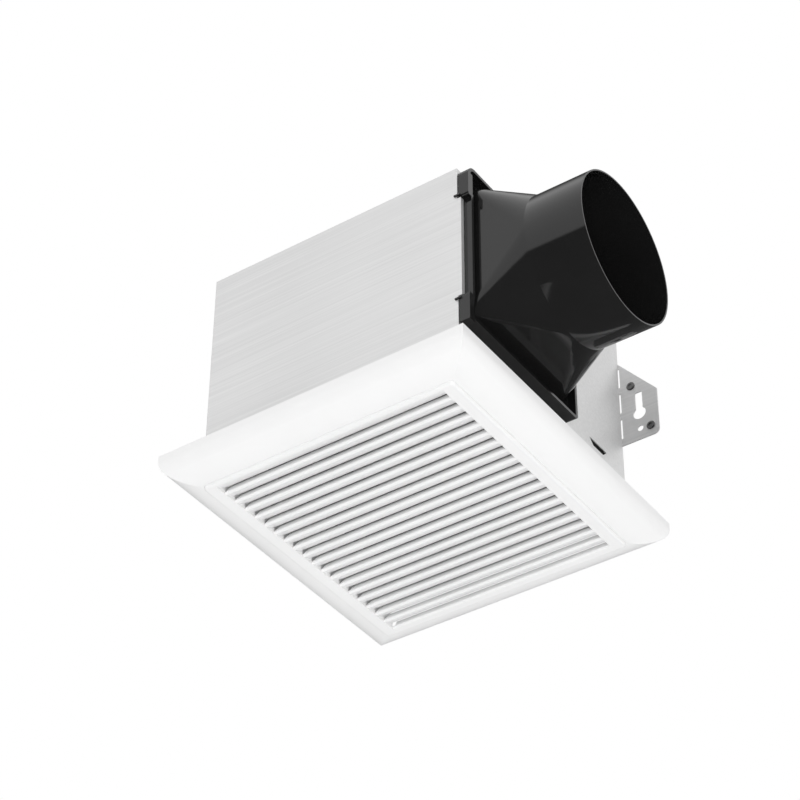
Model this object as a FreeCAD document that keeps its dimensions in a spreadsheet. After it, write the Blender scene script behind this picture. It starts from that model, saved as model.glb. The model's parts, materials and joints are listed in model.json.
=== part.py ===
import FreeCAD, Part

import math
import os
import re
from types import SimpleNamespace

doc = FreeCAD.newDocument("exhaust_fan")
sheet = doc.addObject("Spreadsheet::Sheet", "Sizes")

# Driving sizes in millimetres, angles in degrees
sizes = {
    # Folded housing box, open at the bottom
    "housing_x": 183,
    "housing_y": 186,
    "housing_height": 146,
    "sheet_wall": 0.8,
    "fold_radius": 0.6,
    # Air outlet through the +X wall
    "outlet_setback": 59.5,
    "outlet_drop": 60,
    "outlet_hole": 90,
    "outlet_hole_corner": 10,
    # Tongue folded out of the -Y wall for the adapter clips
    "tongue_reach": 2.6,
    "tongue_return": 3,
    "tongue_below": 42,
    "tongue_above": 34.6,
    # Joist ears in the plane of the +Y wall
    "ear_reach": 26.9,
    "ear_bottom": 53,
    "ear_outer_top": 87.7,
    "ear_root_top": 119.2,
    "ear_corner": 4,
    "ear_overlap": 3,
    "slit_offset": 0.3,
    "slit_width": 1.4,
    "slit_length": 15.5,
    "slit_low": 58.5,
    "slit_pitch": 20.5,
    "slit_count": 3,
    "keyhole_offset": 13.6,
    "keyhole_z": 73.6,
    "keyhole_radius": 4.5,
    "keyhole_neck": 5.1,
    "keyhole_neck_top": 90.3,
    "keyhole_neck_round": 0.8,
    "nail_hole_z": 61.5,
    "nail_hole_radius": 2.1,
    "rivet_head_radius": 2.95,
    "rivet_head_height": 0.9,
    "rivet_head_edge": 0.4,
    "rivet_dimple_radius": 1.3,
    "rivet_dimple_depth": 0.4,
    "rivet_radius": 1.6,
    "inner_rivet_offset": 8.6,
    "inner_rivet_z": 97.3,
    "outer_rivet_offset": 21.1,
    "outer_rivet_z": 60.5,
    # Slots in the +X wall that take the tabs of the inlet plate
    "lance_y": 61.2,
    "lance_length": 20.8,
    "lance_base": 11.5,
    "lance_depth": 4.3,
    "lance_play": 0.1,
    # Cable knockout in the top wall
    "knockout_from_side": 17.7,
    "knockout_from_rear": 32.2,
    "knockout_radius": 11,
    "knockout_slit": 0.6,
    "knockout_bridge_angle": 14,
    # Plastic duct adapter
    "flange_width": 117,
    "flange_height": 119.5,
    "flange_front_gap": 0.3,
    "flange_top_gap": 0.8,
    "flange_plate": 2.5,
    "flange_depth": 8,
    "flange_rim": 2.2,
    "flange_top_corner": 7,
    "flange_low_corner": 3,
    "tongue_play": 0.3,
    "clip_proud": 0.2,
    "clip_reach": 5,
    "clip_groove": 1,
    "clip_groove_depth": 2.7,
    "clip_upper_gap": 1.6,
    "clip_upper_height": 16.8,
    "clip_lower_gap": 1.8,
    "clip_lower_height": 18.7,
    "clip_lip_length": 1.9,
    "clip_lip_height": 1.1,
    "clip_lip_proud": 1,
    "clip_lip_root": 1.5,
    "adapter_opening_radius": 41,
    "neck_half": 51.4,
    "neck_corner": 6,
    "neck_wall": 2.2,
    "neck_pole_angle": 2,
    "collar_start": 39.7,
    "collar_end": 78.5,
    "collar_radius": 49.7,
    "collar_wall": 1,
    # Back-draught flap on its pin
    "flap_radius": 43.5,
    "flap_half_width": 23,
    "flap_wall": 1.6,
    "flap_gap": 0.3,
    "flap_hinge_x": 6.5,
    "flap_hinge_rise": 43,
    "knuckle_radius": 2.6,
    "pin_radius": 1.5,
    "pin_play": 0.08,
    "lug_gap": 1,
    "lug_wall": 3,
    "lug_half_height": 3.5,
    "lug_depth": 7.5,
    # Spiral blower case
    "wheel_offset": 41,
    "spiral_square": 9,
    "spiral_radius": 66,
    "scroll_wall": 1.5,
    "scroll_side_gap": 0.7,
    "scroll_drop": 6,
    "scroll_opening_radius": 48,
    # Inlet plate, its brackets and the bell-mouth ring
    "plate_z": 33.5,
    "plate_wall": 0.8,
    "plate_gap": 0.3,
    "plate_tab_width": 15,
    "plate_hole_radius": 56.2,
    "ring_radius": 63,
    "ring_wall": 1.5,
    "bell_centre_radius": 56,
    "bell_radius": 9.5,
    "throat_height": 2.5,
    "ring_screw_circle": 59.8,
    "ring_screw_count": 3,
    "ring_screw_turn": 90,
    "bracket_y": 60,
    "bracket_width": 20,
    "bracket_height": 15,
    "bracket_reach": 12.7,
    "plate_screw_offset": 6.7,
    # Squirrel-cage wheel
    "wheel_radius": 56,
    "wheel_bottom": 47,
    "wheel_top": 118,
    "wheel_skin": 2,
    "wheel_ring_wall": 2,
    "wheel_ring_width": 3.5,
    "wheel_rim_wall": 1.5,
    "cup_floor": 76,
    "cup_floor_radius": 39,
    "cup_top_radius": 44,
    "hub_radius": 7,
    "hub_bottom": 62,
    "hub_top": 80,
    "blade_count": 36,
    "blade_inner_radius": 45.5,
    "blade_outer_radius": 55,
    "blade_wall": 1,
    "blade_lean": 6.4,
    "blade_bow": 1.2,
    # Shaded-pole motor, on the wheel axis
    "shaft_radius": 3,
    "shaft_bottom": 56,
    "shaft_top": 121,
    "rotor_radius": 11,
    "rotor_overhang": 1,
    "air_gap": 0.4,
    "stator_left": -18,
    "stator_right": 29,
    "stator_half_y": 18,
    "stator_bottom": 92,
    "stator_top": 112,
    "window_left": 16.3,
    "window_right": 22,
    "window_half_y": 11,
    "bobbin_wall": 1,
    "bobbin_flange": 1.2,
    "bobbin_half_y": 10.8,
    "bobbin_flange_rise": 5.2,
    "winding_rise": 4.2,
    "winding_round": 3,
    "cradle_half_x": 8,
    "cradle_leg": 5,
    "cradle_rise": 4,
    "cradle_strip": 2,
    "boss_radius": 6.5,
    "boss_out": 5,
    "boss_in": 1.5,
    "bearing_radius": 5,
    "bearing_height": 6,
    "bearing_play": 0.05,
    "bearing_ledge": 1,
    "upper_bearing_z": 115,
    "lower_bearing_z": 83,
    "wheel_nut_across": 10,
    "wheel_nut_height": 4,
    # Motor suspension
    "motor_screw_y": 15,
    "standoff_radius": 3.2,
    "grommet_radius": 4.5,
    "grommet_height": 2,
    "motor_plate_radius": 54,
    "motor_plate_wall": 1.2,
    "motor_plate_screw_circle": 51,
    "motor_plate_screw_count": 4,
    "motor_plate_screw_turn": 45,
    "motor_plate_screw_length": 5.2,
    "motor_nut_across": 5.5,
    "motor_nut_height": 2.4,
    "screw_tip_proud": 0.4,
    # Screws
    "screw_radius": 1.5,
    "screw_play": 0.1,
    "screw_head_radius": 2.8,
    "screw_head_height": 1.8,
    "screw_head_edge": 0.6,
    "screw_length": 5,
    # Wiring compartment in the corner
    "wiring_width": 34.7,
    "wiring_depth": 68.2,
    "wiring_bottom": 62,
    "wiring_tab_from_rear": 22.2,
    "wiring_tab_width": 14,
    "wiring_tab_reach": 10,
    "cover_screw_offset": 6,
    "cover_wall": 0.8,
    "cover_edge": 0.6,
    "receptacle_from_side": 16.7,
    "receptacle_from_rear": 48.2,
    "receptacle_length": 24,
    "receptacle_width": 18,
    "receptacle_depth": 15,
    "receptacle_neck": 2,
    "receptacle_back": 9,
    "receptacle_slot_pitch": 6,
    "receptacle_slot_width": 1.6,
    "receptacle_slot_length": 8,
    "receptacle_slot_depth": 10,
    "ground_from_side": 26.7,
    "ground_from_rear": 59.2,
    # Spring brackets on the housing walls
    "spring_bracket_z": 8,
    "spring_bracket_height": 14,
    "spring_bracket_reach": 9.2,
    "spring_bracket_half_y": 44,
    "spring_slot_half_y": 40,
    "spring_slot_width": 5.2,
    # V-spring arms and the posts that hold them
    "post_gap": 4.5,
    "post_z": -9,
    "post_radius": 2.6,
    "rib_half_gap": 2.9,
    "rib_wall": 1.4,
    "rib_half_width": 5,
    "rib_top": -5.5,
    "rib_sink": 0.5,
    "wire_radius": 1,
    "eye_radius": 4,
    "arm_spacing": 2.6,
    "arm_length": 80,
    "arm_angle": 62,
    "hook_length": 6,
    "hook_angle": 70,
    # Grille: rim, pillow border, raised panel
    "grille_half_x": 108.5,
    "grille_half_y": 114.6,
    "grille_rim": 4.7,
    "grille_wall": 2,
    "border_width": 19,
    "border_depth": 14,
    "border_edge_radius": 11,
    "panel_inset_x": 19.6,
    "panel_inset_y": 19,
    "panel_z": -21,
    "panel_corner": 3,
    "panel_bead": 1.5,
    # Louvres
    "louvre_side_margin": 8.5,
    "louvre_front_margin": 1.4,
    "louvre_rear_margin": 6.735,
    "louvre_count": 19,
    "louvre_nose": 1.2,
    "louvre_slope": 29.5,
    "louvre_wall": 1.5,
    "louvre_side_wall": 1.5,
    "leg_slope": 67,
    "leg_height": 5.5,
    "leg_wall": 1.3,
    "leg_taper": 3.2,
    "last_leg_inset": 2,
    "end_rib_height": 12,
}

for row, (alias, value) in enumerate(sizes.items(), 1):
    sheet.set(f"A{row}", alias)
    sheet.set(f"B{row}", str(value))
    sheet.setAlias(f"B{row}", alias)

# Places that follow from the sizes
follows = {
    "half_x": "housing_x / 2",
    "half_y": "housing_y / 2",
    "inner_x": "half_x - sheet_wall",
    "inner_y": "half_y - sheet_wall",
    # The outlet and its flange are measured from the front and top of the box
    "outlet_y": "outlet_setback - half_y",
    "outlet_z": "housing_height - outlet_drop",
    "flange_front": "flange_front_gap - half_y",
    "flange_top": "housing_height - flange_top_gap",
    "tongue_bottom": "outlet_z - tongue_below",
    "tongue_top": "outlet_z + tongue_above",
    "clip_upper_bottom": "tongue_top + clip_upper_gap",
    "clip_lower_top": "tongue_bottom - clip_lower_gap",
    "clip_lower_bottom": "clip_lower_top - clip_lower_height",
    "hinge_x": "half_x + flap_hinge_x",
    "hinge_z": "outlet_z + flap_hinge_rise",
    "pin_start_y": "outlet_y - flap_half_width - lug_gap - lug_wall",
    "pin_length": "2 * (outlet_y - pin_start_y)",
    # The wheel axis keeps the widest turn of the spiral off the side wall
    "wheel_x": "spiral_radius + 1.5 * spiral_square + scroll_wall + scroll_side_gap - inner_x",
    "wheel_y": "outlet_y + wheel_offset",
    "plate_top": "plate_z + plate_wall",
    "lance_top": "plate_top + lance_play",
    "lance_bottom": "lance_top - lance_depth",
    "scroll_top": "housing_height - scroll_drop",
    "standoff_top": "scroll_top - grommet_height",
    "motor_plate_top": "scroll_top + motor_plate_wall",
    "motor_screw_tip": "motor_plate_top + motor_nut_height + screw_tip_proud",
    "screw_hole": "screw_radius + screw_play",
    # The wiring corner is measured from the side and rear walls
    "knockout_x": "inner_x - knockout_from_side",
    "knockout_y": "inner_y - knockout_from_rear",
    "wiring_x": "inner_x - wiring_width",
    "wiring_y": "inner_y - wiring_depth",
    "wiring_tab_y": "inner_y - wiring_tab_from_rear",
    "receptacle_x": "inner_x - receptacle_from_side",
    "receptacle_y": "inner_y - receptacle_from_rear",
    "ground_screw_x": "inner_x - ground_from_side",
    "ground_screw_y": "inner_y - ground_from_rear",
    "post_x": "inner_x - post_gap",
    # The panel follows the grille edge and the louvres fill the panel
    "panel_half_x": "grille_half_x - panel_inset_x",
    "panel_half_y": "grille_half_y - panel_inset_y",
    "louvre_half_x": "panel_half_x - louvre_side_margin",
    "louvre_end_x": "louvre_half_x + louvre_side_wall",
    "louvre_first_y": "louvre_front_margin - panel_half_y",
    "louvre_pitch": "(2 * panel_half_y - louvre_front_margin - louvre_rear_margin) / louvre_count",
    "border_valley": "-grille_rim - border_depth",
}


# Names inside an expression get the name of the object that holds them
def tied(text):
    def owned(word):
        name = word.group()
        owner = "Sizes." if name in sizes else "Places." if name in follows else ""
        return owner + name

    return re.sub(r"[a-z]\w*", owned, text)


place_set = doc.addObject("App::VarSet", "Places")
for name, formula in follows.items():
    place_set.addProperty("App::PropertyFloat", name)
    place_set.setExpression(name, tied(formula))
doc.recompute()
dim = SimpleNamespace(**{alias: float(sheet.get(alias)) for alias in sizes})
for name in follows:
    setattr(dim, name, float(getattr(place_set, name)))

half_x, half_y = dim.half_x, dim.half_y
inner_x, inner_y = dim.inner_x, dim.inner_y
nodes = []


def new_body(label, centred_on_wheel=False):
    body = doc.addObject("PartDesign::Body", label)
    body.Label = label
    body.AllowCompound = True
    if centred_on_wheel:
        body.setExpression("Placement.Base.x", tied("wheel_x"))
        body.setExpression("Placement.Base.y", tied("wheel_y"))
    nodes.append(body)
    return body


def origin_item(body, role):
    return next(item for item in body.Origin.OriginFeatures if item.Role == role)


# The XZ plane faces -Y, so its offsets and directions are turned round
def faces_back(sketch):
    return sketch.AttachmentSupport[0][0].Role == "XZ_Plane"


def new_sketch(body, name, plane, offset="0"):
    sketch = body.newObject("Sketcher::SketchObject", name)
    sketch.AttachmentSupport = [(origin_item(body, plane), "")]
    sketch.MapMode = "FlatFace"
    sign = "-" if faces_back(sketch) else ""
    sketch.setExpression("AttachmentOffset.Base.z", tied(f"{sign}({offset})"))
    return sketch


# A step is a point for a line, or a pair of points for an arc through the first
def outline(sketch, start, *steps):
    here = FreeCAD.Vector(*start)
    for step in steps + (start,):
        if isinstance(step[0], tuple):
            middle, end = FreeCAD.Vector(*step[0]), FreeCAD.Vector(*step[1])
            sketch.addGeometry(Part.Arc(here, middle, end))
        else:
            end = FreeCAD.Vector(*step)
            if here.distanceToPoint(end) > 1e-6:
                sketch.addGeometry(Part.LineSegment(here, end))
        here = end


def rectangle(sketch, left, right, low, high):
    outline(sketch, (left, low), (right, low), (right, high), (left, high))


def circle(sketch, x, y, radius):
    sketch.addGeometry(Part.Circle(FreeCAD.Vector(x, y), FreeCAD.Vector(0, 0, 1), radius))


def circles(sketch, places, radius):
    for x, y in places:
        circle(sketch, x, y, radius)


def polar(radius, degrees, centre=(0, 0)):
    angle = math.radians(degrees)
    return centre[0] + radius * math.cos(angle), centre[1] + radius * math.sin(angle)


def turned(point, degrees):
    return polar(math.hypot(*point), degrees + math.degrees(math.atan2(point[1], point[0])))


def on_circle(radius, count, first=0):
    return [polar(radius, first + 360 * index / int(count)) for index in range(int(count))]


def hexagon(sketch, x, y, across):
    outline(sketch, *[polar(across / math.sqrt(3), 60 * corner, (x, y)) for corner in range(6)])


# Steps of an outward corner taken anticlockwise; turn is the side it starts from
def corner(x, y, radius, turn):
    centre = polar(radius * math.sqrt(2), turn + 225, (x, y))
    arc = polar(radius, turn + 45, centre), polar(radius, turn + 90, centre)
    return [polar(radius, turn, centre), arc]


def rounded_square(sketch, x, y, half, radius):
    steps = []
    for turn in (0, 90, 180, 270):
        steps += corner(*polar(half * math.sqrt(2), turn + 45, (x, y)), radius, turn)
    outline(sketch, *steps)


# A circle in eight arcs that match the sides and corners of a rounded square
def eight_arcs(sketch, x, y, radius, pole):
    steps = []
    for quarter in range(4):
        turn = 90 * quarter
        steps.append((polar(radius, turn, (x, y)), polar(radius, turn + pole, (x, y))))
        steps.append((polar(radius, turn + 45, (x, y)), polar(radius, turn + 90 - pole, (x, y))))
    outline(sketch, polar(radius, -pole, (x, y)), *steps)


# The sign of toward is the direction along the global axis
def pad(body, sketch, length, toward=1):
    feature = body.newObject("PartDesign::Pad", sketch.Name + "_pad")
    feature.Profile = sketch
    feature.setExpression("Length", tied(length))
    feature.Reversed = (toward < 0) != faces_back(sketch)
    return feature


def pocket(body, sketch, length, toward=1):
    feature = body.newObject("PartDesign::Pocket", sketch.Name + "_pocket")
    feature.Profile = sketch
    feature.setExpression("Length", tied(length))
    feature.Reversed = (toward > 0) != faces_back(sketch)
    return feature


def revolve(body, sketch):
    feature = body.newObject("PartDesign::Revolution", sketch.Name + "_turn")
    feature.Profile = sketch
    feature.ReferenceAxis = (sketch, ["V_Axis"])
    feature.Angle = 360
    return feature


def loft(body, kind, first, last):
    feature = body.newObject("PartDesign::" + kind, first.Name + "_loft")
    feature.Profile = first
    feature.Sections = [last]
    feature.Ruled = True
    return feature


def repeat(body, feature, role, spacing, count):
    row = body.newObject("PartDesign::LinearPattern", feature.Name + "_row")
    row.Originals = [feature]
    row.Direction = (origin_item(body, role), [""])
    row.setExpression("Length", tied(f"({spacing}) * ({count} - 1)"))
    row.setExpression("Occurrences", tied(count))
    body.Tip = row
    return row


def dress_edges(body, feature, kind, size_name, size, chosen):
    doc.recompute()
    edges = [f"Edge{number}" for number, edge in enumerate(feature.Shape.Edges, 1) if chosen(edge.BoundBox)]
    dressed = body.newObject("PartDesign::" + kind, feature.Name + "_" + kind.lower())
    dressed.Base = (feature, edges)
    dressed.setExpression(size_name, tied(size))
    body.Tip = dressed
    return dressed


def fillet(body, feature, radius, chosen):
    return dress_edges(body, feature, "Fillet", "Radius", radius, chosen)


def chamfer(body, feature, size, chosen):
    return dress_edges(body, feature, "Chamfer", "Size", size, chosen)


def near(value, target):
    return abs(value - target) < 0.01


# Screws along Z with bevelled heads, the head on the far side of the seat from the point
def screws(label, places, seat, length, point=1, centred_on_wheel=False):
    group = new_body(label, centred_on_wheel)
    heads = new_sketch(group, label + "_heads", "XY_Plane", seat)
    circles(heads, places, dim.screw_head_radius)
    head_pad = pad(group, heads, "screw_head_height", -point)
    doc.recompute()
    bounds = head_pad.Shape.BoundBox
    crown = bounds.ZMin if point > 0 else bounds.ZMax

    def on_crown(box):
        return near(box.ZMin, crown) and near(box.ZMax, crown)

    chamfer(group, head_pad, "screw_head_edge", on_crown)
    shanks = new_sketch(group, label + "_shanks", "XY_Plane", seat)
    circles(shanks, places, dim.screw_radius)
    pad(group, shanks, length, point)
    return group


# Housing of folded sheet
def ear_places():
    inner = half_x + dim.inner_rivet_offset, dim.inner_rivet_z
    outer = half_x + dim.outer_rivet_offset, dim.outer_rivet_z
    return [(side * x, z) for side in (1, -1) for x, z in (inner, outer)]


def ear_outline(sketch, side):
    root = side * (half_x - dim.ear_overlap)
    tip = side * (half_x + dim.ear_reach)
    bend = side * (half_x + dim.ear_reach - dim.ear_corner), dim.ear_bottom + dim.ear_corner
    outline(
        sketch,
        (root, dim.ear_bottom),
        (bend[0], dim.ear_bottom),
        (polar(dim.ear_corner, -45 if side > 0 else 225, bend), (tip, bend[1])),
        (tip, dim.ear_outer_top),
        (side * half_x, dim.ear_root_top),
        (root, dim.ear_root_top),
    )


def ear_holes(sketch, side):
    slit = side * (half_x + dim.slit_offset)
    for number in range(int(dim.slit_count)):
        low = dim.slit_low + number * dim.slit_pitch
        rectangle(sketch, slit - dim.slit_width / 2, slit + dim.slit_width / 2, low, low + dim.slit_length)
    centre = side * (half_x + dim.keyhole_offset)
    neck = dim.keyhole_neck / 2
    shoulder = dim.keyhole_z + math.sqrt(dim.keyhole_radius ** 2 - neck ** 2)
    outline(
        sketch,
        (centre + neck, shoulder),
        *corner(centre + neck, dim.keyhole_neck_top, dim.keyhole_neck_round, 0),
        *corner(centre - neck, dim.keyhole_neck_top, dim.keyhole_neck_round, 90),
        (centre - neck, shoulder),
        ((centre, dim.keyhole_z - dim.keyhole_radius), (centre + neck, shoulder)),
    )
    circle(sketch, centre, dim.nail_hole_z, dim.nail_hole_radius)


def build_housing():
    shell = new_body("housing_shell")
    box = new_sketch(shell, "housing_outline", "XY_Plane")
    rectangle(box, -half_x, half_x, -half_y, half_y)
    block = pad(shell, box, "housing_height")
    fillet(shell, block, "fold_radius", lambda bound: not near(bound.ZMax, 0))
    room = new_sketch(shell, "housing_room", "XY_Plane")
    rectangle(room, -inner_x, inner_x, -inner_y, inner_y)
    pocket(shell, room, "housing_height - sheet_wall")

    for side, name in ((1, "right"), (-1, "left")):
        ear = new_sketch(shell, name + "_ear", "XZ_Plane", "half_y")
        ear_outline(ear, side)
        pad(shell, ear, "sheet_wall", -1)
        holes = new_sketch(shell, name + "_ear_holes", "XZ_Plane", "half_y")
        ear_holes(holes, side)
        pocket(shell, holes, "sheet_wall", -1)
    rivets = new_sketch(shell, "rivet_holes", "XZ_Plane", "half_y")
    circles(rivets, ear_places(), dim.rivet_radius)
    pocket(shell, rivets, "sheet_wall", -1)

    tongue = new_sketch(shell, "tongue", "XY_Plane", "tongue_bottom")
    tip = half_x + dim.tongue_reach
    root = half_x - dim.ear_overlap
    outline(
        tongue,
        (root, -half_y),
        (tip, -half_y),
        (tip, -half_y + dim.tongue_return),
        (tip - dim.sheet_wall, -half_y + dim.tongue_return),
        (tip - dim.sheet_wall, -inner_y),
        (root, -inner_y),
    )
    pad(shell, tongue, "tongue_top - tongue_bottom")

    opening = new_sketch(shell, "outlet_opening", "YZ_Plane")
    rounded_square(opening, dim.outlet_y, dim.outlet_z, dim.outlet_hole / 2, dim.outlet_hole_corner)
    pocket(shell, opening, "housing_x")

    lances = new_sketch(shell, "lances", "YZ_Plane")
    for middle in (-dim.lance_y, dim.lance_y):
        top, base = dim.lance_length / 2, dim.lance_base / 2
        outline(
            lances,
            (middle - base, dim.lance_bottom),
            (middle + base, dim.lance_bottom),
            (middle + top, dim.lance_top),
            (middle - top, dim.lance_top),
        )
    pocket(shell, lances, "housing_x")

    knockout = new_sketch(shell, "knockout", "XY_Plane", "housing_height")
    centre = dim.knockout_x, dim.knockout_y
    outer = dim.knockout_radius + dim.knockout_slit
    for turn in (0, 180):
        first = turn + dim.knockout_bridge_angle
        last = turn + 180 - dim.knockout_bridge_angle
        outline(
            knockout,
            polar(outer, first, centre),
            (polar(outer, turn + 90, centre), polar(outer, last, centre)),
            polar(dim.knockout_radius, last, centre),
            (polar(dim.knockout_radius, turn + 90, centre), polar(dim.knockout_radius, first, centre)),
        )
    circle(knockout, dim.ground_screw_x, dim.ground_screw_y, dim.screw_hole)
    pocket(shell, knockout, "sheet_wall", -1)


def build_ear_rivets():
    rivets = new_body("ear_rivets")
    heads = new_sketch(rivets, "rivet_heads", "XZ_Plane", "inner_y")
    circles(heads, ear_places(), dim.rivet_head_radius)
    head_pad = pad(rivets, heads, "rivet_head_height", -1)
    crown = inner_y - dim.rivet_head_height

    def on_crown(box):
        return near(box.YMin, crown) and near(box.YMax, crown)

    chamfer(rivets, head_pad, "rivet_head_edge", on_crown)
    dimples = new_sketch(rivets, "rivet_dimples", "XZ_Plane", "inner_y - rivet_head_height")
    circles(dimples, ear_places(), dim.rivet_dimple_radius)
    pocket(rivets, dimples, "rivet_dimple_depth")
    shanks = new_sketch(rivets, "rivet_shanks", "XZ_Plane", "inner_y")
    circles(shanks, ear_places(), dim.rivet_radius)
    pad(rivets, shanks, "sheet_wall")


# Duct adapter: flange, clips, square-to-round neck, round collar
def flange_outline(sketch, inset):
    front, rear = dim.flange_front + inset, dim.flange_front + dim.flange_width - inset
    low, high = dim.flange_top - dim.flange_height + inset, dim.flange_top - inset
    low_corner, top_corner = dim.flange_low_corner - inset, dim.flange_top_corner - inset
    notch = -half_y + dim.tongue_return + dim.tongue_play + inset
    notch_low = dim.tongue_bottom - dim.tongue_play - inset
    notch_high = dim.tongue_top + dim.tongue_play + inset
    outline(
        sketch,
        *corner(rear, low, low_corner, 270),
        *corner(rear, high, top_corner, 0),
        *corner(front, high, top_corner, 90),
        (front, notch_high),
        (notch, notch_high),
        (notch, notch_low),
        (front, notch_low),
        *corner(front, low, low_corner, 180),
    )


def build_adapter():
    adapter = new_body("duct_adapter")
    plate = new_sketch(adapter, "flange_plate_outline", "YZ_Plane", "half_x")
    flange_outline(plate, 0)
    pad(adapter, plate, "flange_plate")
    rim = new_sketch(adapter, "flange_rim_outline", "YZ_Plane", "half_x")
    flange_outline(rim, 0)
    flange_outline(rim, dim.flange_rim)
    pad(adapter, rim, "flange_depth")

    clips = (
        ("upper", "clip_upper_bottom", "clip_upper_height", "clip_upper_bottom"),
        ("lower", "clip_lower_bottom", "clip_lower_height", "clip_lower_top - clip_lip_height"),
    )
    outer = -half_y - dim.clip_proud
    block_side = half_x + dim.clip_groove
    for name, bottom, height, lip_bottom in clips:
        block = new_sketch(adapter, name + "_clip", "XY_Plane", bottom)
        rectangle(block, block_side, half_x + dim.flange_depth, outer, outer + dim.clip_reach)
        pad(adapter, block, height)
        groove = new_sketch(adapter, name + "_clip_groove", "XY_Plane", bottom)
        rectangle(groove, half_x, block_side, outer, outer + dim.clip_groove_depth)
        pocket(adapter, groove, height)
        lip = new_sketch(adapter, name + "_clip_lip", "XY_Plane", lip_bottom)
        root = block_side + dim.clip_lip_root
        outline(
            lip,
            (half_x - dim.clip_lip_length, -half_y - dim.clip_lip_proud),
            (root, -half_y - dim.clip_lip_proud),
            (root, -half_y + dim.clip_lip_root),
            (block_side, -half_y + dim.clip_lip_root),
            (block_side, -half_y),
            (half_x - dim.clip_lip_length, -half_y),
        )
        pad(adapter, lip, "clip_lip_height")

    centre = dim.outlet_y, dim.outlet_z
    face = "half_x + flange_plate"
    collar = "half_x + collar_start"
    square = new_sketch(adapter, "neck_square", "YZ_Plane", face)
    rounded_square(square, *centre, dim.neck_half, dim.neck_corner)
    round_end = new_sketch(adapter, "neck_round", "YZ_Plane", collar)
    eight_arcs(round_end, *centre, dim.collar_radius, dim.neck_pole_angle)
    loft(adapter, "AdditiveLoft", square, round_end)
    tube = new_sketch(adapter, "collar_tube", "YZ_Plane", collar)
    circle(tube, *centre, dim.collar_radius)
    pad(adapter, tube, "collar_end - collar_start")

    inner_square = new_sketch(adapter, "neck_inner_square", "YZ_Plane", face)
    rounded_square(inner_square, *centre, dim.neck_half - dim.neck_wall, dim.neck_corner - dim.neck_wall)
    inner_round = new_sketch(adapter, "neck_inner_round", "YZ_Plane", collar)
    eight_arcs(inner_round, *centre, dim.collar_radius - dim.collar_wall, dim.neck_pole_angle)
    loft(adapter, "SubtractiveLoft", inner_square, inner_round)
    bore = new_sketch(adapter, "collar_bore", "YZ_Plane", collar)
    circle(bore, *centre, dim.collar_radius - dim.collar_wall)
    pocket(adapter, bore, "collar_end - collar_start")
    opening = new_sketch(adapter, "adapter_opening", "YZ_Plane", "half_x")
    circle(opening, *centre, dim.adapter_opening_radius)
    pocket(adapter, opening, "flange_plate")

    lugs = new_sketch(adapter, "hinge_lugs", "YZ_Plane", face)
    lug_inner = dim.flap_half_width + dim.lug_gap
    for side in (1, -1):
        edges = sorted(dim.outlet_y + side * offset for offset in (lug_inner, lug_inner + dim.lug_wall))
        rectangle(lugs, *edges, dim.hinge_z - dim.lug_half_height, dim.hinge_z + dim.lug_half_height)
    pad(adapter, lugs, "lug_depth")
    pin_hole = new_sketch(adapter, "pin_hole", "XZ_Plane", "pin_start_y")
    circle(pin_hole, dim.hinge_x, dim.hinge_z, dim.pin_radius)
    pocket(adapter, pin_hole, "pin_length")


def build_damper():
    flap = new_body("damper_flap")
    disc = new_sketch(flap, "flap_disc", "YZ_Plane", "half_x + flange_plate + flap_gap")
    width = dim.flap_half_width
    shoulder = dim.outlet_z + math.sqrt(dim.flap_radius ** 2 - width ** 2)
    outline(
        disc,
        (dim.outlet_y - width, shoulder),
        ((dim.outlet_y, dim.outlet_z - dim.flap_radius), (dim.outlet_y + width, shoulder)),
        (dim.outlet_y + width, dim.hinge_z),
        (dim.outlet_y - width, dim.hinge_z),
    )
    pad(flap, disc, "flap_wall")
    knuckle = new_sketch(flap, "flap_knuckle", "XZ_Plane", "outlet_y - flap_half_width")
    circle(knuckle, dim.hinge_x, dim.hinge_z, dim.knuckle_radius)
    pad(flap, knuckle, "2 * flap_half_width")
    bore = new_sketch(flap, "knuckle_bore", "XZ_Plane", "outlet_y - flap_half_width")
    circle(bore, dim.hinge_x, dim.hinge_z, dim.pin_radius + dim.pin_play)
    pocket(flap, bore, "2 * flap_half_width")

    pin = new_body("damper_pin")
    rod = new_sketch(pin, "pin_section", "XZ_Plane", "pin_start_y")
    circle(rod, dim.hinge_x, dim.hinge_z, dim.pin_radius)
    pad(pin, rod, "pin_length")


# Spiral of three quarter arcs struck from the corners of a square about the wheel axis
def spiral_steps(grow, cut_off=0):
    shift = dim.spiral_square / 2
    centres = (
        (dim.wheel_x - shift, dim.wheel_y + shift),
        (dim.wheel_x - shift, dim.wheel_y - shift),
        (dim.wheel_x + shift, dim.wheel_y - shift),
    )
    start = polar(dim.spiral_radius + grow, cut_off, centres[0])
    steps = []
    for quarter, centre in enumerate(centres):
        radius = dim.spiral_radius + quarter * dim.spiral_square + grow
        middle = 90 * quarter + 45 + (cut_off / 2 if quarter == 0 else 0)
        steps.append((polar(radius, middle, centre), polar(radius, 90 * quarter + 90, centre)))
    return start, steps


def motor_plate_screw_places():
    return on_circle(dim.motor_plate_screw_circle, dim.motor_plate_screw_count, dim.motor_plate_screw_turn)


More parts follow.
